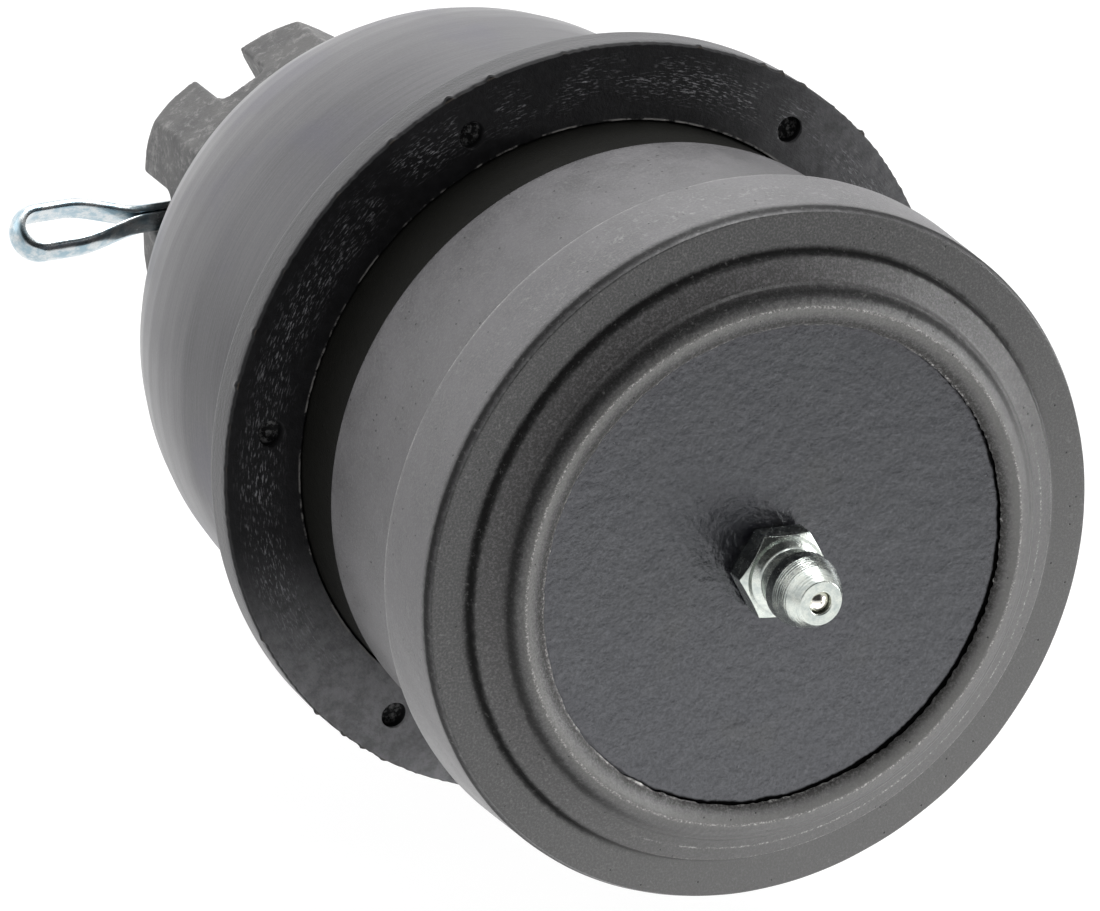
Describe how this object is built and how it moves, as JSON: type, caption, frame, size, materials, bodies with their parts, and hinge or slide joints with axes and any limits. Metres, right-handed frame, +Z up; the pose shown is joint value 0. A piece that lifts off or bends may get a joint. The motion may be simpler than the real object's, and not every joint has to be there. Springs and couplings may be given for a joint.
{
  "type": "suspension ball joint",
  "caption": "Press-in ball joint: flanged round housing with rolled-in cover and grease fitting, rubber boot, tapered ball stud with slotted nut and split pin.",
  "frame": {"origin": "centre of the stud's ball, on the axis of the press-fit body", "axes": "+Y along the body's axis from the cover towards the stud's thread; +Z up; the split pin's eye is towards -X"},
  "size_m": [0.0664, 0.1061, 0.0664],
  "materials": {
    "housing_steel": "forged and turned steel, satin grey with fine pits",
    "plate_steel": "pressed steel, satin blue-grey oxide",
    "spring_steel": "spring steel, oiled",
    "inner_steel": "pressed steel, greased",
    "bearing_polymer": "natural bearing polymer, greased",
    "stud_steel": "ground alloy steel",
    "fitting_zinc": "bright zinc plate over turned steel",
    "bright_ball": "polished ball",
    "boot_rubber": "moulded synthetic rubber, satin",
    "ring_steel": "pressed steel",
    "nut_phosphate": "dark phosphate coating, scuffed",
    "pin_zinc": "zinc-plated half-round wire"
  },
  "bodies": {
    "housing": {"housing": "housing_steel", "cover_plate": "plate_steel", "grease_fitting_body": "fitting_zinc", "preload_spring": "spring_steel", "grease_fitting_spring": "spring_steel", "dust_boot": "boot_rubber", "boot_base_ring": "ring_steel"},
    "bearing": {"upper_bearing": "bearing_polymer"},
    "boot_collar": {"boot_top_ring": "ring_steel"},
    "stud": {"ball_stud": "stud_steel", "castle_nut": "nut_phosphate", "cotter_pin": "pin_zinc"},
    "pressure_pad": {"lower_bearing": "bearing_polymer", "pressure_plate": "inner_steel"},
    "check_ball": {"grease_fitting_ball": "bright_ball"}
  },
  "joints": [
    {"name": "bearing_turn", "type": "hinge", "parent": "housing", "child": "bearing", "pos_m": [0, 0, 0], "axis": [0, 1, 0], "continuous": true},
    {"name": "stud_tilt", "type": "hinge", "parent": "bearing", "child": "boot_collar", "pos_m": [0, 0, 0], "axis": [1, 0, 0], "range_deg": [-18, 18], "deforming": ["dust_boot"]},
    {"name": "stud_spin", "type": "hinge", "parent": "boot_collar", "child": "stud", "pos_m": [0, 0, 0], "axis": [0, 1, 0], "continuous": true},
    {"name": "preload_take_up", "type": "slide", "parent": "housing", "child": "pressure_pad", "axis": [0, -1, 0], "range_m": [0, 0.0004], "stiffness_N_per_m": 8000, "springref_m": -0.002, "deforming": ["preload_spring"]},
    {"name": "check_ball_lift", "type": "slide", "parent": "housing", "child": "check_ball", "axis": [0, 1, 0], "range_m": [0, 0.001], "stiffness_N_per_m": 60, "springref_m": -0.0005, "deforming": ["grease_fitting_spring"]}
  ]
}
